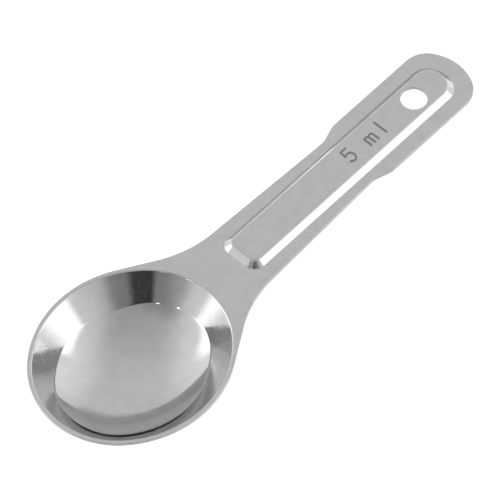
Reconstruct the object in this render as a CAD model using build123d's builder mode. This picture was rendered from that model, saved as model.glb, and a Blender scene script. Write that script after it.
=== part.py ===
from build123d import *
from math import cos, radians, sin, sqrt, tan
import os

# A measuring spoon pressed from one flat piece of stainless steel sheet.
# It is drawn with the middle of the bowl at x = y = 0 and the handle along +X. The rim
# of the bowl, the neck and the flat border of the handle share one plane, z = 0 on their
# upper face. The finished spoon is then moved so that the origin is the middle of the
# hanging hole, on the upper face of the raised panel.

# Sheet
sheet_thickness = 0.6
edge_bevel = 0.1

# Bowl, which holds 5 ml level full. Its rim is an oval of four arcs. The floor's radius is a
# share of the bowl's width across the spoon and of its length along it.
bowl_length = 37.1
bowl_width = 33.4
bowl_depth = 8.8
lip_width = 0.8
rim_bend_radius = 1.0
arc_joint_angle = 47
wall_angle = 65
corner_radius = 6.5
floor_across_share = 0.77
floor_along_share = 0.85

# Handle outline: a neck that tapers to a waist, then a wider paddle at the far end
handle_reach = 82.9
neck_angle = 31
neck_width = 14.3
neck_fillet_radius = 22.0
waist_width = 11.7
shoulder_length = 3.5
shoulder_radius = 4.0
paddle_length = 25.1
paddle_width = 14.0
end_arc_radius = 8.8
end_corner_radius = 5.0

# Raised panel, pressed up from below to stiffen the handle
panel_height = 1.1
panel_width = 8.5
panel_near_border = 7.2
panel_far_border = 3.3
panel_near_corner_radius = 2.4
panel_far_corner_radius = 3.8
panel_flank_angle = 40
panel_bend_radius = 0.4

# Hanging hole
hole_diameter = 4.8
hole_end_distance = 11.6

# How far a cutting shape runs past the faces that it cuts
overrun = 1.0

# The oval: two end arcs, and two side arcs that meet them on a tangent
half_length = bowl_length / 2
half_width = bowl_width / 2
joint_slant = 1 / cos(radians(arc_joint_angle)) - tan(radians(arc_joint_angle))
bowl_end_radius = (half_width - joint_slant * half_length) / (1 - joint_slant)
end_centre = half_length - bowl_end_radius
bowl_side_radius = bowl_end_radius + end_centre / cos(radians(arc_joint_angle))
side_centre = bowl_side_radius - half_width
floor_radius_across = floor_across_share * bowl_width
floor_radius_along = floor_along_share * bowl_length


def oval(growth):
    """The oval of the bowl's rim as a flat face, grown all round."""
    end_sweep = 2 * arc_joint_angle
    side_sweep = 180 - end_sweep
    with BuildSketch() as outline:
        with BuildLine():
            for half_turn in (0, 180):
                side = cos(radians(half_turn))
                end_point = (side * end_centre, 0)
                CenterArc(end_point, bowl_end_radius + growth, half_turn - arc_joint_angle, end_sweep)
                side_point = (0, -side * side_centre)
                CenterArc(side_point, bowl_side_radius + growth, half_turn + arc_joint_angle, side_sweep)
        make_face()
    return outline.sketch


def dome_form(growth, top):
    """All the space above the floor, a dome that is rounder across the spoon than along it."""
    centre_height = floor_radius_along - bowl_depth
    with BuildPart() as form:
        with BuildSketch(Plane.XY.offset(centre_height)):
            with Locations((floor_radius_along - floor_radius_across, 0)):
                Circle(floor_radius_across + growth)
            with Locations((centre_height - top, 0)):
                Rectangle(
                    floor_radius_along,
                    2 * floor_radius_along,
                    align=(Align.MIN, Align.CENTER),
                    mode=Mode.INTERSECT,
                )
        # Half a turn takes the section down from one end and up to the other
        revolve(axis=Axis((0, 0, centre_height), (0, 1, 0)), revolution_arc=180)
    return form.part


def bowl_form(growth, top):
    """The space in the bowl as a solid, grown all round and cut off level at top."""
    steepness = radians(wall_angle)
    mouth_growth = growth / sin(steepness) - lip_width
    dome = dome_form(growth, top)
    with BuildPart() as form:
        with BuildSketch(Plane.XY.offset(top)):
            add(oval(mouth_growth + top / tan(steepness)))
        extrude(amount=-bowl_depth - growth - top, taper=90 - wall_angle)
        add(dome, mode=Mode.INTERSECT)
        floor_face = form.faces().sort_by(Axis.Z)[0]
        fillet(floor_face.edges(), radius=corner_radius + growth)
    return form.part


def panel_form(foot, inset, top_radius):
    """The raised panel as a solid above the height foot, drawn in by inset all round."""
    run = panel_height / tan(radians(panel_flank_angle))
    near_end = half_length + panel_near_border
    far_end = handle_reach - panel_far_border
    with BuildPart() as form:
        for height, drawn_in in ((foot, inset), (foot + panel_height, inset + run)):
            with BuildSketch(Plane.XY.offset(height)) as level:
                with Locations(((near_end + far_end) / 2, 0)):
                    Rectangle(far_end - near_end - 2 * drawn_in, panel_width - 2 * drawn_in)
                near_corners = level.vertices().group_by(Axis.X)[0]
                fillet(near_corners, radius=panel_near_corner_radius - drawn_in)
                far_corners = level.vertices().group_by(Axis.X)[-1]
                fillet(far_corners, radius=panel_far_corner_radius - drawn_in)
        loft(ruled=True)
        fillet(form.edges().group_by(Axis.Z)[-1], radius=top_radius)
    return form.part


# Outline of the handle on the +Y side, where it leaves a side arc of the oval on a tangent
neck_slope = radians(neck_angle)
tangent_point = (
    bowl_side_radius * sin(neck_slope),
    bowl_side_radius * cos(neck_slope) - side_centre,
)
neck_run = (tangent_point[1] - neck_width / 2) / tan(neck_slope)
neck_point = (tangent_point[0] + neck_run, neck_width / 2)
paddle_start = handle_reach - paddle_length
waist_point = (paddle_start - shoulder_length, waist_width / 2)
shoulder_point = (paddle_start, paddle_width / 2)
end_arc_rise = end_arc_radius - sqrt(end_arc_radius**2 - (paddle_width / 2) ** 2)
corner_point = (handle_reach - end_arc_rise, paddle_width / 2)
end_point = (handle_reach, 0)
hole_place = handle_reach - hole_end_distance

# The pressed shapes, each as a solid for the outside and one for the inside of the sheet
bowl_outside = bowl_form(sheet_thickness, -sheet_thickness / 2)
bowl_inside = bowl_form(0, overrun)
flank_shift = sheet_thickness * tan(radians(panel_flank_angle) / 2)
outer_bend_radius = panel_bend_radius + sheet_thickness
panel_outside = panel_form(0, 0, outer_bend_radius)
panel_inside = panel_form(-sheet_thickness, flank_shift, panel_bend_radius)

with BuildPart() as pressed:
    # The flat blank, with the sharpness taken off its cut edge all round
    with BuildSketch(Plane.XY.offset(-sheet_thickness)) as blank:
        with BuildLine():
            Polyline(
                (0, 0),
                tangent_point,
                neck_point,
                waist_point,
                shoulder_point,
                corner_point,
            )
            RadiusArc(corner_point, end_point, end_arc_radius)
            Line(end_point, (0, 0))
        make_face()
        mirror(about=Plane.XZ)
        # The corners are rounded from the far end towards the bowl
        fillet(blank.vertices().group_by(Axis.X)[-1], radius=end_corner_radius)
        fillet(blank.vertices().group_by(Axis.X)[4], radius=shoulder_radius)
        fillet(blank.vertices().group_by(Axis.X)[3], radius=shoulder_radius)
        fillet(blank.vertices().group_by(Axis.X)[2], radius=neck_fillet_radius)
        add(oval(0))
    extrude(amount=sheet_thickness)
    rims = pressed.faces().filter_by(Plane.XY).edges()
    chamfer(rims, length=edge_bevel)

    # The bowl, drawn down with an even wall, and the bend where its wall meets the rim
    add(bowl_outside)
    add(bowl_inside, mode=Mode.SUBTRACT)
    upper_face = pressed.faces().filter_by(Plane.XY).sort_by(Axis.Z)[-1]
    fillet(upper_face.inner_wires()[0].edges(), radius=rim_bend_radius)

    # The raised panel, hollow underneath, with bends of one sheet on both sides
    add(panel_outside)
    add(panel_inside, mode=Mode.SUBTRACT)
    flat_borders = pressed.faces().filter_by(Plane.XY).sort_by(SortBy.AREA)[-2:].sort_by(Axis.Z)
    panel_foot = flat_borders[1].inner_wires().sort_by(Axis.X)[-1]
    fillet(panel_foot.edges(), radius=panel_bend_radius)
    flat_borders = pressed.faces().filter_by(Plane.XY).sort_by(SortBy.AREA)[-2:].sort_by(Axis.Z)
    panel_mouth = flat_borders[0].inner_wires().sort_by(Axis.X)[-1]
    fillet(panel_mouth.edges(), radius=outer_bend_radius)

    # The hole that the spoon hangs by, punched through the panel
    with BuildSketch(Plane.XY.offset(panel_height)):
        with Locations((hole_place, 0)):
            Circle(hole_diameter / 2)
    extrude(amount=-sheet_thickness - overrun, mode=Mode.SUBTRACT)

with BuildPart() as spoon:
    with Locations((-hole_place, 0, -panel_height)):
        add(pressed.part)

spoon.part.label = "spoon"
os.makedirs("parts", exist_ok=True)
export_step(spoon.part, "parts/spoon.step")
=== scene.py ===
from math import acos, atan2, ceil, cos, hypot, pi, radians, sin, sqrt, tan

import bpy
import numpy as np
from mathutils import Matrix, Vector
from mathutils.geometry import delaunay_2d_cdt


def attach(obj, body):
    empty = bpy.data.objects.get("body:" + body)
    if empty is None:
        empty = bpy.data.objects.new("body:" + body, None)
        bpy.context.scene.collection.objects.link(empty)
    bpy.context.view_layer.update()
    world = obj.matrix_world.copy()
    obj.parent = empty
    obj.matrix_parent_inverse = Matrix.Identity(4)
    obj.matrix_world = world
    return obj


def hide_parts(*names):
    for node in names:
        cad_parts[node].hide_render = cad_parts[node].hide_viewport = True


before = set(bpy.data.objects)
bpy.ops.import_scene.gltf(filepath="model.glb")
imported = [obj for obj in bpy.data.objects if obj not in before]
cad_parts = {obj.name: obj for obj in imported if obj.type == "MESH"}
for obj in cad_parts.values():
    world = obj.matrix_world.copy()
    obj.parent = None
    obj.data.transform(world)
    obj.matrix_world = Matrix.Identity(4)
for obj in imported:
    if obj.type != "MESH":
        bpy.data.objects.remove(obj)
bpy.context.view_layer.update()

MM = 0.001

# Driving sizes in millimetres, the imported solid's own. They are measured from the middle of
# the bowl's level mouth, with the handle along +X.
SHEET = 0.6
BOWL_LENGTH = 37.1
BOWL_WIDTH = 33.4
BOWL_DEPTH = 8.8
ARC_JOINT = radians(47)
REACH = 82.9
NECK_ANGLE = radians(31)
NECK_WIDTH = 14.3
NECK_FILLET = 22.0
WAIST_WIDTH = 11.7
SHOULDER_LENGTH = 3.5
SHOULDER_FILLET = 4.0
PADDLE_LENGTH = 25.1
PADDLE_WIDTH = 14.0
END_ARC = 8.8
END_CORNER = 5.0
PANEL_RISE = 1.1
PANEL_WIDTH = 8.5
PANEL_NEAR_BORDER = 7.2
PANEL_FAR_BORDER = 3.3
PANEL_NEAR_CORNER = 2.4
PANEL_FAR_CORNER = 3.8
FLANK = radians(40)
PANEL_BEND = 0.4
HOLE_RADIUS = 2.4
HOLE_END_DISTANCE = 11.6

# The bowl's section follows the photograph's reflections, which ask for a slacker wall and a
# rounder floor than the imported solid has. The lip and the bend beside it are a little
# smaller too. The outline of the bowl and its depth are the solid's own.
LIP = 0.7
RIM_BEND = 0.6
CREASE = 0.25
WALL = radians(49)
CORNER = 2.5
FLOOR_ACROSS = 0.57 * BOWL_WIDTH
FLOOR_ALONG = 0.65 * BOWL_LENGTH

# Cut edges, rounded by wear
EDGE_ROUND = 0.12
HOLE_ROUND = 0.06

# How fine the skin is: distances in millimetres, the turn between two points of a curve in
# radians, and counts of points, steps or rings
CURVE_STEP = 0.3
CURVE_TURN = 0.03
LEAST_STEPS = 3
OUTLINE_STRAIGHT_STEP = 0.6
PANEL_STRAIGHT_STEP = 0.5
PANEL_CORNER_STEPS = 24
HOLE_POINTS = 96
EDGE_RINGS = 5
BOWL_POINTS = 288
RIM_BEND_RINGS = 9
CREASE_RINGS = 7
WALL_STEPS = 7
CORNER_STEPS = 24
FLOOR_STEPS = 39
PANEL_FOOT_RINGS = 7
PANEL_BEND_RINGS = 13
HALVINGS = 50
TOUCHING = 1e-6
FILL_TOLERANCE = 1e-7
# The kind of result asked of delaunay_2d_cdt: triangles inside the edges that it is given
FILL_INSIDE = 1

# How worn the bends are, where a cut edge has 1
RIM_BEND_WEAR = 0.5
PANEL_BEND_WEAR = 0.6

HOLE_X = REACH - HOLE_END_DISTANCE
ORIGIN = np.array([HOLE_X, 0.0, PANEL_RISE])

# The bowl's oval: two end arcs and two side arcs that meet on a tangent
half_length = BOWL_LENGTH / 2
half_width = BOWL_WIDTH / 2
slant = 1 / cos(ARC_JOINT) - tan(ARC_JOINT)
end_radius = (half_width - slant * half_length) / (1 - slant)
end_centre = half_length - end_radius
side_radius = end_radius + end_centre / cos(ARC_JOINT)
side_centre = side_radius - half_width

# The bowl's floor is an arc across the spoon, swept round a circle along it. The circle's
# radius is spine, and its centre lies at the height spine_z.
spine = FLOOR_ALONG - FLOOR_ACROSS
spine_z = FLOOR_ALONG - BOWL_DEPTH


def unit(v):
    return v / np.linalg.norm(v, axis=-1, keepdims=True)


def flat(points, z):
    """Points of the plan at the height z."""
    return np.column_stack([points, np.full(len(points), z)])


def tilt(directions, sideways, upward):
    """Vectors with a sideways share along each plan direction and an upward share."""
    return np.column_stack([directions * sideways, np.full(len(directions), upward)])


class Skin:
    """Vertices with their exact normals, how worn and how marked they are, and the faces."""

    def __init__(self):
        self.points, self.normals, self.edge, self.mark, self.faces = [], [], [], [], []

    def add(self, points, normals, edge=0.0, mark=0.0):
        """Add vertices and give their numbers."""
        first = len(self.points)
        points = np.atleast_2d(points)
        self.points.extend(points.tolist())
        self.normals.extend(np.broadcast_to(normals, points.shape).tolist())
        self.edge.extend(np.broadcast_to(edge, len(points)).tolist())
        self.mark.extend(np.broadcast_to(mark, len(points)).tolist())
        return list(range(first, first + len(points)))

    def rings(self, rings, flip=False):
        """Quads between each ring and the next, all of the same count."""
        for outer, inner in zip(rings, rings[1:]):
            for i in range(len(outer)):
                j = (i + 1) % len(outer)
                quad = [outer[i], outer[j], inner[j], inner[i]]
                self.faces.append(quad[::-1] if flip else quad)

    def fan(self, ring, tip, flip=False):
        """Triangles from a ring to one vertex."""
        for i in range(len(ring)):
            j = (i + 1) % len(ring)
            face = [ring[i], ring[j], tip]
            self.faces.append([face[1], face[0], face[2]] if flip else face)


# Lines of the plan, as points with outward directions
def arc_run(centre, radius, start, end, steps=None):
    """An arc of the plan. One that turns clockwise is hollow: its outward side faces its centre."""
    sweep = abs(end - start)
    if steps is None:
        steps = max(LEAST_STEPS, int(ceil(sweep * radius / CURVE_STEP)), int(sweep / CURVE_TURN))
    turns = np.linspace(start, end, steps + 1)
    away = np.column_stack([np.cos(turns), np.sin(turns)])
    return np.array(centre) + radius * away, away if end > start else -away


def corner_run(before, at, after, radius):
    """The arc that rounds the corner at, on a path from before to after."""
    back, on = unit(before - at), unit(after - at)
    half = acos(float(np.clip(back @ on, -1, 1))) / 2
    reach = radius / tan(half)
    centre = at + unit(back + on) * radius / sin(half)
    start = atan2(*(at + back * reach - centre)[::-1])
    end = atan2(*(at + on * reach - centre)[::-1])
    sweep = (end - start + pi) % (2 * pi) - pi
    return arc_run(centre, radius, start, start + sweep)


def joined(runs, step):
    """The runs in order as one chain, with points on the straights between them."""
    points, aways = list(runs[0][0]), list(runs[0][1])
    for some, away in runs[1:]:
        gap = some[0] - points[-1]
        length = hypot(*gap)
        if length > TOUCHING:
            count = int(ceil(length / step))
            for i in range(1, count):
                points.append(some[0] - gap * (1 - i / count))
                aways.append(aways[-1])
        else:
            some, away = some[1:], away[1:]
        points.extend(some)
        aways.extend(away)
    return np.array(points), np.array(aways)


def outline_points():
    """The blank's outline: the +Y side from the far end to the bowl's end, then the other."""
    # Far end: the end arc, and the corner that meets it from inside
    arc_x = REACH - END_ARC
    corner_y = PADDLE_WIDTH / 2 - END_CORNER
    corner_x = arc_x + sqrt((END_ARC - END_CORNER) ** 2 - corner_y**2)
    joint = atan2(corner_y, corner_x - arc_x)
    runs = [
        arc_run((arc_x, 0), END_ARC, 0, joint),
        arc_run((corner_x, corner_y), END_CORNER, joint, pi / 2),
    ]
    # Shoulder, waist and neck
    tangent_y = side_radius * cos(NECK_ANGLE) - side_centre
    tangent = np.array([side_radius * sin(NECK_ANGLE), tangent_y])
    neck_x = tangent[0] + (tangent_y - NECK_WIDTH / 2) / tan(NECK_ANGLE)
    paddle = REACH - PADDLE_LENGTH
    path = [
        np.array([corner_x, PADDLE_WIDTH / 2]),
        np.array([paddle, PADDLE_WIDTH / 2]),
        np.array([paddle - SHOULDER_LENGTH, WAIST_WIDTH / 2]),
        np.array([neck_x, NECK_WIDTH / 2]),
        tangent,
    ]
    radii = (SHOULDER_FILLET, SHOULDER_FILLET, NECK_FILLET)
    for before, at, after, radius in zip(path, path[1:], path[2:], radii):
        runs.append(corner_run(before, at, after, radius))
    # The bowl: a side arc, then half of the end arc
    runs.append(arc_run((0, -side_centre), side_radius, pi / 2 - NECK_ANGLE, pi - ARC_JOINT))
    runs.append(arc_run((-end_centre, 0), end_radius, pi - ARC_JOINT, pi))
    points, aways = joined(runs, OUTLINE_STRAIGHT_STEP)
    over = [1, -1]
    mirrored, mirrored_away = points[1:-1][::-1] * over, aways[1:-1][::-1] * over
    return np.vstack([points, mirrored]), np.vstack([aways, mirrored_away])


def panel_points():
    """The outline of the panel's foot, a rectangle with round corners."""
    near = half_length + PANEL_NEAR_BORDER
    far = REACH - PANEL_FAR_BORDER
    half = PANEL_WIDTH / 2
    corners = (
        (far - PANEL_FAR_CORNER, half - PANEL_FAR_CORNER, PANEL_FAR_CORNER),
        (near + PANEL_NEAR_CORNER, half - PANEL_NEAR_CORNER, PANEL_NEAR_CORNER),
        (near + PANEL_NEAR_CORNER, PANEL_NEAR_CORNER - half, PANEL_NEAR_CORNER),
        (far - PANEL_FAR_CORNER, PANEL_FAR_CORNER - half, PANEL_FAR_CORNER),
    )
    runs = []
    for quarter, (x, y, radius) in enumerate(corners):
        start = quarter * pi / 2
        runs.append(arc_run((x, y), radius, start, start + pi / 2, PANEL_CORNER_STEPS))
    runs.append((runs[0][0][:1], runs[0][1][:1]))
    points, aways = joined(runs, PANEL_STRAIGHT_STEP)
    return points[:-1], aways[:-1]


# Level regions between loops
def inside(points, loop):
    """Which points lie inside a closed loop."""
    x, y = points[:, 0], points[:, 1]
    result = np.zeros(len(points), bool)
    for (x1, y1), (x2, y2) in zip(loop, np.roll(loop, -1, axis=0)):
        if y1 != y2:
            crosses = (y1 > y) != (y2 > y)
            result ^= crosses & (x < (x2 - x1) * (y - y1) / (y2 - y1) + x1)
    return result


def fill(skin, loops, up, extra=()):
    """Triangles between an outer loop and its holes, on further vertices too if given."""
    numbers = [n for loop in loops for n in loop] + list(extra)
    plan = np.array([skin.points[n][:2] for n in numbers])
    edges, regions = [], []
    first = 0
    for loop in loops:
        count = len(loop)
        edges += [(first + i, first + (i + 1) % count) for i in range(count)]
        regions.append(plan[first:first + count])
        first += count
    corners = [Vector(point) for point in plan.tolist()]
    result = delaunay_2d_cdt(corners, edges, [], FILL_INSIDE, FILL_TOLERANCE)
    verts, _, faces, origin = result[:4]
    centres = np.array([np.mean([verts[i][:] for i in face], axis=0) for face in faces])
    keep = inside(centres, regions[0])
    for hole in regions[1:]:
        keep &= ~inside(centres, hole)
    for face, kept in zip(faces, keep):
        if kept:
            ring = [numbers[origin[i][0]] for i in face]
            skin.faces.append(ring if up else ring[::-1])


# Bowl
def floor_core(points):
    """For each point, the centre of the floor's arc across the spoon that faces it."""
    x, z = points[:, 0], points[:, 2] - spine_z
    rho = np.hypot(x, z)
    return np.column_stack([spine * x / rho, 0 * x, spine_z + spine * z / rho])


class Bowl:
    """Rings of the bowl in every direction of the plan, from the rim down to the floor."""

    def __init__(self, skin):
        self.skin = skin
        self.top, self.under = [], []
        turns = np.linspace(0, 2 * pi, BOWL_POINTS, endpoint=False)
        self.dirs = np.column_stack([np.cos(turns), np.sin(turns)])
        at_end = np.abs(self.dirs[:, 0]) > cos(ARC_JOINT)
        end = np.column_stack([np.sign(self.dirs[:, 0]) * end_centre, 0 * turns])
        side = np.column_stack([0 * turns, -np.sign(self.dirs[:, 1]) * side_centre])
        self.centre = np.where(at_end[:, None], end, side)
        self.mouth = np.where(at_end, end_radius, side_radius) - LIP
        self.off_wall = tilt(self.dirs, sin(WALL), -cos(WALL))

    def at(self, distance, z):
        """Points at a distance from the centre of each direction's arc, at the height z."""
        plan = self.centre + self.dirs * distance[:, None]
        return np.column_stack([plan, np.broadcast_to(z, BOWL_POINTS)])

    def bends(self):
        """The bend at the rim, and the crease under it where the wall leaves the flat."""
        foot = -RIM_BEND * (1 - cos(WALL))
        start = self.mouth + foot / tan(WALL) + RIM_BEND * sin(WALL)
        for phi in np.linspace(0, WALL, RIM_BEND_RINGS):
            spot = self.at(start - RIM_BEND * sin(phi), -RIM_BEND * (1 - cos(phi)))
            normals = tilt(-self.dirs, sin(phi), cos(phi))
            worn = RIM_BEND_WEAR * sin(pi * phi / WALL)
            self.top.append(self.skin.add(spot, normals, edge=worn))
        self.wall_start = spot
        start = self.mouth + (SHEET + CREASE) / sin(WALL) - (SHEET + CREASE) / tan(WALL)
        for phi in np.linspace(0, WALL, CREASE_RINGS):
            spot = self.at(start - CREASE * sin(phi), -SHEET - CREASE * (1 - cos(phi)))
            normals = tilt(self.dirs, sin(phi), -cos(phi))
            self.under.append(self.skin.add(spot, normals))
        self.under_start = spot

    def ball_centres(self, z):
        """Centres at the height z of a corner's ball that touches the wall."""
        return self.at(self.mouth + z / tan(WALL) - CORNER / sin(WALL), z)

    def roll_ball(self):
        """Where the ball touches the floor too, found by halving."""
        low = np.full(BOWL_POINTS, -BOWL_DEPTH)
        high = np.full(BOWL_POINTS, BOWL_DEPTH)
        for _ in range(HALVINGS):
            middle = (low + high) / 2
            centres = self.ball_centres(middle)
            reach = np.linalg.norm(centres - floor_core(centres), axis=1)
            too_far = reach > FLOOR_ACROSS - CORNER
            low, high = np.where(too_far, middle, low), np.where(too_far, high, middle)
        self.ball = self.ball_centres((low + high) / 2)
        self.core = floor_core(self.ball)
        self.off_floor = unit(self.ball - self.core)

    def wall(self):
        """The straight wall, down to where the ball touches it."""
        foot = self.ball + CORNER * self.off_wall
        under_foot = self.ball + (CORNER + SHEET) * self.off_wall
        for share in np.linspace(0, 1, WALL_STEPS + 1)[1:]:
            spot = self.wall_start + (foot - self.wall_start) * share
            self.top.append(self.skin.add(spot, -self.off_wall))
            spot = self.under_start + (under_foot - self.under_start) * share
            self.under.append(self.skin.add(spot, self.off_wall))

    def corner(self):
        """The ball's own surface, from the wall round to the floor."""
        cosine = np.clip((self.off_wall * self.off_floor).sum(1), -1, 1)
        angle = np.arccos(cosine)[:, None]
        for share in np.linspace(0, 1, CORNER_STEPS + 1)[1:]:
            way = np.sin((1 - share) * angle) * self.off_wall
            way = unit(way + np.sin(share * angle) * self.off_floor)
            self.top.append(self.skin.add(self.ball + CORNER * way, -way))
            self.under.append(self.skin.add(self.ball + (CORNER + SHEET) * way, way))

    def floor(self, rings, radius, sign):
        """Rings that draw in to the middle of the floor."""
        start = self.core + radius * self.off_floor
        for share in np.linspace(1, 0, FLOOR_STEPS + 1)[1:-1]:
            x, y = start[:, 0] * share, start[:, 1] * share
            along = spine + np.sqrt(radius**2 - y**2)
            here = np.column_stack([x, y, spine_z - np.sqrt(along**2 - x**2)])
            rings.append(self.skin.add(here, sign * unit(here - floor_core(here))))

    def build(self):
        """Make all of it, and give the rings that meet the flat rim above and below."""
        self.bends()
        self.roll_ball()
        self.wall()
        self.corner()
        self.floor(self.top, FLOOR_ACROSS, -1)
        self.floor(self.under, FLOOR_ACROSS + SHEET, 1)
        middle = self.skin.add([0, 0, -BOWL_DEPTH], [0, 0, 1])[0]
        under_middle = self.skin.add([0, 0, -BOWL_DEPTH - SHEET], [0, 0, -1])[0]
        self.skin.rings(self.top)
        self.skin.rings(self.under, flip=True)
        self.skin.fan(self.top[-1], middle)
        self.skin.fan(self.under[-1], under_middle, flip=True)
        return self.top[0], self.under[0]


# Panel
def panel_profile():
    """How far in, how high, how steep and how worn each ring of the flank is."""
    foot = -PANEL_BEND * tan(FLANK / 2)
    outer = PANEL_BEND + SHEET
    shoulder = PANEL_RISE / tan(FLANK) + outer * tan(FLANK / 2)
    profile = []
    for phi in np.linspace(0, FLANK, PANEL_FOOT_RINGS):
        profile.append((foot + PANEL_BEND * sin(phi), PANEL_BEND * (1 - cos(phi)), phi, 0.0))
    for phi in np.linspace(FLANK, 0, PANEL_BEND_RINGS):
        worn = PANEL_BEND_WEAR * sin(pi * phi / FLANK)
        height = PANEL_RISE - outer * (1 - cos(phi))
        profile.append((shoulder - outer * sin(phi), height, phi, worn))
    return profile


def panel_rings(skin):
    """Rings from the panel's foot to its level top, above and below the sheet."""
    points, aways = panel_points()
    top, under = [], []
    for inset, z, phi, worn in panel_profile():
        normals = tilt(aways, sin(phi), cos(phi))
        spot = flat(points - aways * inset, z)
        top.append(skin.add(spot, normals, edge=worn))
        under.append(skin.add(spot - SHEET * normals, -normals))
    skin.rings(top)
    skin.rings(under, flip=True)
    return top, under


# Cut edges
def edge_rings(skin, points, aways, top, round_off):
    """Rings over a cut edge, from the upper face to the lower. aways points off the metal."""
    rings = []
    for start, middle in ((0, top - round_off), (pi / 2, top - SHEET + round_off)):
        for phi in np.linspace(start, start + pi / 2, EDGE_RINGS):
            plan = points - aways * round_off * (1 - sin(phi))
            spot = flat(plan, middle + round_off * cos(phi))
            rings.append(skin.add(spot, tilt(aways, sin(phi), cos(phi)), edge=sin(phi)))
    return rings


# Capacity mark: plain strokes cut into the panel's top. MARK_START is how far along the handle
# its figure starts, and M_START and L_START are how far beyond that its letters do.
MARK_START = 53.6
MARK_BASE = -1.25
MARK_HEIGHT = 2.9
SMALL_HEIGHT = 0.62 * MARK_HEIGHT
M_START = 5.2
L_START = 9.1
ARCH_WIDTH = 0.95
# The figure: its flag, its waist, and its bowl with the angles where that starts and ends
FLAG_LEFT, FLAG_RIGHT = 0.35, 1.55
FIVE_WAIST, WAIST_HEIGHT = 0.2, 0.56 * MARK_HEIGHT
FIVE_MIDDLE, FIVE_ACROSS, FIVE_UP = 0.85, 0.9, 0.32 * MARK_HEIGHT
FIVE_START, FIVE_END = 130, -140
FIVE_POINTS, ARCH_POINTS = 16, 9
# The stroke's width and depth, the share of the width that its slope takes, the net of
# points over the mark and its border, and the distance over which a slope is measured
STROKE_WIDTH = 0.4
STROKE_DEPTH = 0.07
STROKE_SLOPE = 0.3
NET_PITCH = 0.06
NET_BORDER = 0.35
SLOPE_STEP = 0.01


def arc_chain(x, y, across, up, start, end, count):
    """Points on an oval arc between two angles in degrees."""
    turns = np.radians(np.linspace(start, end, count))
    return [(x + across * cos(t), y + up * sin(t)) for t in turns]


def mark_strokes():
    """A plain 5 ml, as chains of points."""
    x, y = MARK_START, MARK_BASE
    top = y + MARK_HEIGHT
    flag = [(x + FLAG_RIGHT, top), (x + FLAG_LEFT, top), (x + FIVE_WAIST, y + WAIST_HEIGHT)]
    five = (x + FIVE_MIDDLE, y + FIVE_UP, FIVE_ACROSS, FIVE_UP, FIVE_START, FIVE_END)
    chains = [flag + arc_chain(*five, FIVE_POINTS)]
    x = MARK_START + M_START
    chains.append([(x, y), (x, y + SMALL_HEIGHT)])
    half = ARCH_WIDTH / 2
    for left in (x, x + ARCH_WIDTH):
        arch = arc_chain(left + half, y + SMALL_HEIGHT - half, half, half, 180, 0, ARCH_POINTS)
        chains.append(arch + [(left + ARCH_WIDTH, y)])
    x = MARK_START + L_START
    chains.append([(x, y), (x, top)])
    return chains


def stroke_distance(points, strokes):
    """Distance from each point to the nearest stroke."""
    best = np.full(len(points), np.inf)
    for chain in strokes:
        for a, b in zip(chain, chain[1:]):
            a, b = np.array(a), np.array(b)
            run = b - a
            share = np.clip(((points - a) @ run) / (run @ run), 0, 1)
            best = np.minimum(best, np.hypot(*(points - a - share[:, None] * run).T))
    return best


def sunk(points, strokes):
    """How deep each point lies, as a share of the stroke's depth."""
    distance = stroke_distance(points, strokes)
    share = (STROKE_WIDTH / 2 - distance) / (STROKE_SLOPE * STROKE_WIDTH) + 0.5
    share = np.clip(share, 0, 1)
    return share * share * (3 - 2 * share)


def mark_net(skin):
    """Vertices over the mark, sunk where its strokes are."""
    strokes = mark_strokes()
    chain = np.array([point for stroke in strokes for point in stroke])
    low, high = chain.min(axis=0) - NET_BORDER, chain.max(axis=0) + NET_BORDER
    xs = np.arange(low[0], high[0], NET_PITCH)
    ys = np.arange(low[1], high[1], NET_PITCH)
    net = np.array([(x, y) for x in xs for y in ys])
    net = net[stroke_distance(net, strokes) < STROKE_WIDTH]
    slopes = []
    for step in ([SLOPE_STEP, 0], [0, SLOPE_STEP]):
        rise = sunk(net + step, strokes) - sunk(net - step, strokes)
        slopes.append(rise / (2 * SLOPE_STEP) * STROKE_DEPTH)
    normals = unit(np.column_stack(slopes + [np.ones(len(net))]))
    share = sunk(net, strokes)
    spot = np.column_stack([net, PANEL_RISE - share * STROKE_DEPTH])
    return skin.add(spot, normals, mark=share)


# The whole spoon as one closed skin
def build_spoon():
    skin = Skin()
    points, aways = outline_points()
    rim = edge_rings(skin, points, aways, 0, EDGE_ROUND)
    skin.rings(rim, flip=True)
    bowl_top, bowl_under = Bowl(skin).build()
    panel_top, panel_under = panel_rings(skin)
    fill(skin, [rim[0], bowl_top, panel_top[0]], True)
    fill(skin, [rim[-1], bowl_under, panel_under[0]], False)
    turns = np.linspace(0, 2 * pi, HOLE_POINTS, endpoint=False)
    circle = np.column_stack([np.cos(turns), np.sin(turns)])
    bore = HOLE_RADIUS * circle + [HOLE_X, 0]
    hole = edge_rings(skin, bore, -circle, PANEL_RISE, HOLE_ROUND)
    skin.rings(hole)
    fill(skin, [panel_top[-1], hole[0]], True, mark_net(skin))
    fill(skin, [panel_under[-1], hole[-1]], False)
    return skin


def spoon_object():
    skin = build_spoon()
    mesh = bpy.data.meshes.new("spoon_skin")
    points = (np.array(skin.points) - ORIGIN) * MM
    mesh.from_pydata(points.tolist(), [], skin.faces)
    mesh.validate(clean_customdata=False)
    mesh.shade_smooth()
    mesh.normals_split_custom_set_from_vertices(skin.normals)
    for name, values in (("worn_edge", skin.edge), ("mark", skin.mark)):
        layer = mesh.attributes.new(name, "FLOAT", "POINT")
        layer.data.foreach_set("value", values)
    spoon = bpy.data.objects.new("pressed_spoon", mesh)
    bpy.context.scene.collection.objects.link(spoon)
    return spoon


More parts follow.
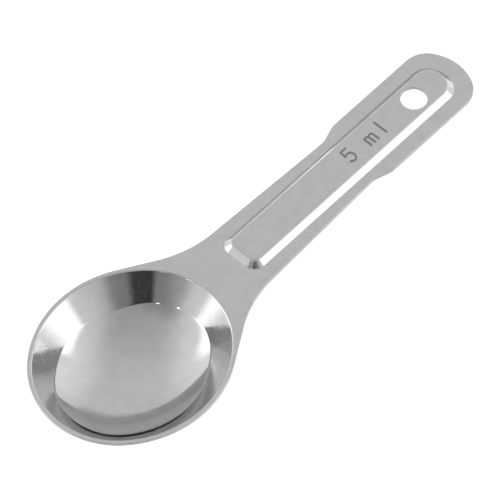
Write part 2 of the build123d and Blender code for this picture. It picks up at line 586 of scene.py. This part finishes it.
class Wiring:
    """Short calls that add nodes to one node tree."""

    def __init__(self, tree):
        self.tree = tree

    def put(self, socket, value):
        """Link a socket to another, or set it to a constant."""
        if isinstance(value, bpy.types.NodeSocket):
            self.tree.links.new(value, socket)
        else:
            socket.default_value = value

    def math(self, operation, a, b=0.0):
        node = self.tree.nodes.new("ShaderNodeMath")
        node.operation = operation
        self.put(node.inputs[0], a)
        self.put(node.inputs[1], b)
        return node.outputs[0]

    def vector_math(self, operation, a, b):
        node = self.tree.nodes.new("ShaderNodeVectorMath")
        node.operation = operation
        self.put(node.inputs[0], a)
        self.put(node.inputs[1], b)
        return node.outputs["Value" if operation == "DOT_PRODUCT" else "Vector"]

    def dot(self, a, b):
        return self.vector_math("DOT_PRODUCT", a, b)

    def scaled(self, vector, by):
        return self.vector_math("MULTIPLY", vector, by)

    def plus(self, total, value, share):
        """The total with a share of the value added to it."""
        return self.math("ADD", total, self.math("MULTIPLY", value, share))

    def ramp(self, value, start, end, low=0.0, high=1.0, smooth=True):
        """low up to start and high from end, with a slope between them."""
        node = self.tree.nodes.new("ShaderNodeMapRange")
        node.interpolation_type = "SMOOTHSTEP" if smooth else "LINEAR"
        self.put(node.inputs["Value"], value)
        limits = {"From Min": start, "From Max": end, "To Min": low, "To Max": high}
        for name, number in limits.items():
            node.inputs[name].default_value = number
        return node.outputs["Result"]

    def noise(self, vector, scale, detail, roughness=0.5):
        node = self.tree.nodes.new("ShaderNodeTexNoise")
        self.put(node.inputs["Vector"], vector)
        node.inputs["Scale"].default_value = scale
        node.inputs["Detail"].default_value = detail
        node.inputs["Roughness"].default_value = roughness
        return node.outputs["Fac"]

    def turned(self, vector, angle, scale):
        """The vector turned about Z and then stretched."""
        node = self.tree.nodes.new("ShaderNodeVectorRotate")
        node.rotation_type = "Z_AXIS"
        node.inputs["Angle"].default_value = angle
        self.put(node.inputs["Vector"], vector)
        return self.scaled(node.outputs["Vector"], scale)

    def attribute(self, name):
        node = self.tree.nodes.new("ShaderNodeAttribute")
        node.attribute_name = name
        return node.outputs["Fac"]


# Steel
# Each kind of unevenness: its depth in millimetres, how many waves go in a millimetre, and
# the detail of its noise
DENT_DEPTH, DENT_WAVES, DENT_DETAIL = 0.02, 0.16, 2.0
GRAIN_DEPTH, GRAIN_WAVES, GRAIN_DETAIL = 0.0006, 3.0, 3.0
GRAIN_STRETCH = (0.06, 1.0, 1.0)
BLOTCH_WAVES, BLOTCH_DETAIL, BLOTCH_ROUGHNESS = 0.45, 5.0, 0.65
# Each direction of scratches: angle in degrees, waves along it and across it, how few
SCRATCHES = (
    (12, 0.07, 3.2, 0.66),
    (-31, 0.1, 3.6, 0.68),
    (74, 0.13, 3.4, 0.69),
    (-80, 0.09, 3.0, 0.68),
)
SCRATCH_DEPTH = 0.0012
SCRATCH_DETAIL = 2.0
SCRATCH_RAMP = 0.05
SCRATCH_WAVES_UP, SCRATCH_WAVES_MORE = 0.4, 0.1
# Grey of the steel from its dull to its bright blotches, and the share that is left of it on
# worn edges and in the grooves of the mark. A range is where on its input the change runs.
GREY_DULL, GREY_BRIGHT, GREY_RANGE = 0.595, 0.64, (0.3, 0.7)
WORN_GREY, WORN_RANGE = 0.6, (0.7, 1.0)
MARK_GREY, MARK_RANGE = 0.42, (0.1, 0.9)
BLUER = 1.01
# Roughness of the polish, and what scratches, wear and the mark's grooves add to it
ROUGH_LEAST, ROUGH_MOST, ROUGH_RANGE = 0.055, 0.125, (0.35, 0.75)
ROUGH_SCRATCH, ROUGH_WORN, ROUGH_MARK = 0.12, 0.2, 0.3


def scratch_mask(wires, place):
    """1 in fine, sparse scratches in several directions."""
    total = 0.0
    for number, (angle, along, across, few) in enumerate(SCRATCHES):
        waves_up = SCRATCH_WAVES_UP + SCRATCH_WAVES_MORE * number
        stretched = wires.turned(place, radians(angle), (along, across, waves_up))
        noise = wires.noise(stretched, 1.0, SCRATCH_DETAIL)
        line = wires.ramp(noise, few, few + SCRATCH_RAMP)
        total = wires.math("MAXIMUM", line, total)
    return total


def steel_colour(wires, blotches, worn, mark):
    """Blotchy grey, darker on worn edges and with dirt in the grooves of the mark."""
    grey = wires.ramp(blotches, *GREY_RANGE, GREY_DULL, GREY_BRIGHT)
    grey = wires.math("MULTIPLY", grey, wires.ramp(worn, *WORN_RANGE, 1.0, WORN_GREY))
    grey = wires.math("MULTIPLY", grey, wires.ramp(mark, *MARK_RANGE, 1.0, MARK_GREY))
    colour = wires.tree.nodes.new("ShaderNodeCombineColor")
    wires.put(colour.inputs["Red"], grey)
    wires.put(colour.inputs["Green"], grey)
    wires.put(colour.inputs["Blue"], wires.math("MULTIPLY", grey, BLUER))
    return colour.outputs["Color"]


def steel_roughness(wires, blotches, scratches, worn, mark):
    """A blotchy polish, dulled by scratches, by wear and in the grooves."""
    rough = wires.ramp(blotches, *ROUGH_RANGE, ROUGH_LEAST, ROUGH_MOST)
    rough = wires.plus(rough, scratches, ROUGH_SCRATCH)
    rough = wires.plus(rough, worn, ROUGH_WORN)
    return wires.plus(rough, mark, ROUGH_MARK)


def steel_bump(wires, place, scratches):
    """Shallow dents, rolling grain along the handle and scratches, as a normal."""
    dents = wires.noise(place, DENT_WAVES, DENT_DETAIL)
    height = wires.math("MULTIPLY", dents, DENT_DEPTH)
    grain = wires.noise(wires.scaled(place, GRAIN_STRETCH), GRAIN_WAVES, GRAIN_DETAIL)
    height = wires.plus(height, grain, GRAIN_DEPTH)
    height = wires.plus(height, scratches, -SCRATCH_DEPTH)
    bump = wires.tree.nodes.new("ShaderNodeBump")
    bump.inputs["Strength"].default_value = 1.0
    bump.inputs["Distance"].default_value = MM
    wires.put(bump.inputs["Height"], height)
    return bump.outputs["Normal"]


def steel_material():
    material = bpy.data.materials.new("polished_steel")
    material.use_nodes = True
    tree = material.node_tree
    wires = Wiring(tree)
    shader = tree.nodes["Principled BSDF"]
    metres = tree.nodes.new("ShaderNodeTexCoord").outputs["Object"]
    place = wires.scaled(metres, (1 / MM, 1 / MM, 1 / MM))
    worn, mark = wires.attribute("worn_edge"), wires.attribute("mark")
    blotches = wires.noise(place, BLOTCH_WAVES, BLOTCH_DETAIL, BLOTCH_ROUGHNESS)
    scratches = scratch_mask(wires, place)
    shader.inputs["Metallic"].default_value = 1.0
    wires.put(shader.inputs["Base Color"], steel_colour(wires, blotches, worn, mark))
    roughness = steel_roughness(wires, blotches, scratches, worn, mark)
    wires.put(shader.inputs["Roughness"], roughness)
    wires.put(shader.inputs["Normal"], steel_bump(wires, place, scratches))
    return material


# Stage
FLOOR_HALF = 3.0
FLOOR_COLOUR = (0.9, 0.9, 0.9, 1)
FLOOR_ROUGHNESS = 0.8
FLOOR_GLOW = 0.6


def floor_material():
    """A pale floor that glows a little, so that it stays white."""
    material = bpy.data.materials.new("pale_floor")
    material.use_nodes = True
    shader = material.node_tree.nodes["Principled BSDF"]
    shader.inputs["Base Color"].default_value = FLOOR_COLOUR
    shader.inputs["Roughness"].default_value = FLOOR_ROUGHNESS
    shader.inputs["Emission Color"].default_value = (1, 1, 1, 1)
    shader.inputs["Emission Strength"].default_value = FLOOR_GLOW
    return material


def stage_floor():
    """The plane that the spoon rests on, with its bowl and the lower edge of its far end."""
    mesh = bpy.data.meshes.new("floor")
    signs = ((-1, -1), (1, -1), (1, 1), (-1, 1))
    corners = [(FLOOR_HALF * x, FLOOR_HALF * y, 0) for x, y in signs]
    mesh.from_pydata(corners, [], [(0, 1, 2, 3)])
    mesh.materials.append(floor_material())
    floor = bpy.data.objects.new("floor", mesh)
    bpy.context.scene.collection.objects.link(floor)
    under_radius = FLOOR_ALONG + SHEET
    centre = np.array([0.0, spine_z])
    gap = np.array([REACH, -SHEET]) - centre
    slope = pi / 2 - (acos(under_radius / hypot(*gap)) - atan2(gap[1], gap[0]))
    touch = centre + under_radius * np.array([sin(slope), -cos(slope)])
    place = (np.array([touch[0], 0, touch[1]]) - ORIGIN) * MM
    floor.matrix_world = Matrix.Translation(Vector(place)) @ Matrix.Rotation(-slope, 4, "Y")


# Studio, described by directions: away from the camera, to its right, and up
STUDIO_TURN = radians(47.4)
AWAY = Vector((sin(STUDIO_TURN), cos(STUDIO_TURN), 0))
RIGHT = Vector((cos(STUDIO_TURN), -sin(STUDIO_TURN), 0))
UP = Vector((0, 0, 1))
# The room's brightness behind the camera and beyond the spoon, and what its sides add. A range
# is where the change runs: -1 is straight behind, 0 the middle, 1 straight beyond or a side.
ROOM_BEHIND, ROOM_BEYOND, ROOM_RANGE = 0.4, 0.73, (-0.9, 0.5)
ROOM_SIDES, SIDES_RANGE = 0.35, (0.3, 0.85)
# Each soft box: turn, rise, half width, half height and edge blur in degrees, brightness
SOFT_BOXES = (
    (95, 22, 14, 11, 6, 1.4),
    (-84, 20, 18, 10, 7, 1.2),
)
# The same for what is dark, with its depth: the photographer, two dim corners, the far wall
DARK_BOXES = (
    (178, 32, 12, 13, 4, 0.85),
    (155, 30, 9, 16, 5, 0.35),
    (-151, 32, 20, 24, 8, 0.28),
    (4, 10, 22, 9, 4, 0.3),
)
# Each lamp: turn, rise and size in degrees, brightness. Its glow fades between two shares of
# its size.
LAMPS = ((-158, 46, 1.5, 6.0), (-130, 34, 1.8, 9.0))
LAMP_OUTER, LAMP_INNER = 1.3, 0.7
# The even middle of a box has at least this half size, in degrees. A box fades out from this
# cosine off its centre down to none, and a smaller cosine than the last is divided by as that.
LEAST_HALF = 0.5
SQUARE_FADE = 0.1
LEAST_COSINE = 0.05


def heading(turn, rise):
    """Unit vector at an angle right of straight ahead and a height above level, in degrees."""
    level = AWAY * cos(radians(turn)) + RIGHT * sin(radians(turn))
    return level * cos(radians(rise)) + UP * sin(radians(rise))


def soft_box(wires, ray, turn, rise, half_wide, half_high, blur):
    """1 inside a rectangle of directions and 0 outside it, with a soft edge."""
    centre = heading(turn, rise)
    across = UP.cross(centre).normalized()
    upright = centre.cross(across)
    facing = wires.dot(ray, centre)
    result = wires.ramp(facing, 0.0, SQUARE_FADE)
    depth = wires.math("MAXIMUM", facing, LEAST_COSINE)
    for axis, half in ((across, half_wide), (upright, half_high)):
        off = wires.math("ABSOLUTE", wires.math("DIVIDE", wires.dot(ray, axis), depth))
        inner, outer = tan(radians(max(half - blur, LEAST_HALF))), tan(radians(half + blur))
        result = wires.math("MULTIPLY", result, wires.ramp(off, inner, outer, 1.0, 0.0))
    return result


def make_world():
    world = bpy.data.worlds.new("studio")
    world.use_nodes = True
    wires = Wiring(world.node_tree)
    ray = world.node_tree.nodes.new("ShaderNodeTexCoord").outputs["Generated"]
    ahead = wires.dot(ray, AWAY)
    light = wires.ramp(ahead, *ROOM_RANGE, ROOM_BEHIND, ROOM_BEYOND, smooth=False)
    aside = wires.math("ABSOLUTE", wires.dot(ray, RIGHT))
    light = wires.math("ADD", light, wires.ramp(aside, *SIDES_RANGE, 0.0, ROOM_SIDES))
    for *place, power in SOFT_BOXES:
        light = wires.plus(light, soft_box(wires, ray, *place), power)
    for *place, depth in DARK_BOXES:
        shade = wires.plus(1.0, soft_box(wires, ray, *place), -depth)
        light = wires.math("MULTIPLY", light, shade)
    for turn, rise, size, power in LAMPS:
        outer, inner = cos(radians(size * LAMP_OUTER)), cos(radians(size * LAMP_INNER))
        lamp = wires.ramp(wires.dot(ray, heading(turn, rise)), outer, inner)
        light = wires.plus(light, lamp, power)
    wires.put(world.node_tree.nodes["Background"].inputs["Color"], light)
    bpy.context.scene.world = world


# Camera, at the photograph's angle. The last two lengths before the lens say how far the
# bowl's middle lies right of the camera's line, or left of it with a minus, and below it.
CAMERA_TURN = radians(47.39)
CAMERA_RISE = radians(55.43)
CAMERA_DISTANCE = 668.7
BOWL_RIGHT = -19.69
BOWL_DOWN = 17.38
LENS = 288.0
SENSOR = 36


def make_camera():
    right = Vector((cos(CAMERA_TURN), -sin(CAMERA_TURN), 0))
    level = Vector((sin(CAMERA_TURN), cos(CAMERA_TURN), 0))
    ahead = level * cos(CAMERA_RISE) - UP * sin(CAMERA_RISE)
    down = ahead.cross(right)
    bowl = right * BOWL_RIGHT + down * BOWL_DOWN + ahead * CAMERA_DISTANCE
    data = bpy.data.cameras.new("camera")
    data.lens = LENS
    data.sensor_width = SENSOR
    camera = bpy.data.objects.new("camera", data)
    turn = Matrix((right, -down, -ahead)).transposed().to_4x4()
    camera.matrix_world = Matrix.Translation((-bowl - Vector(ORIGIN)) * MM) @ turn
    bpy.context.scene.collection.objects.link(camera)
    bpy.context.scene.camera = camera


def main():
    bpy.context.scene.view_settings.view_transform = "Standard"
    spoon = spoon_object()
    spoon.data.materials.append(steel_material())
    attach(spoon, "root")
    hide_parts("spoon")
    stage_floor()
    make_world()
    make_camera()


main()
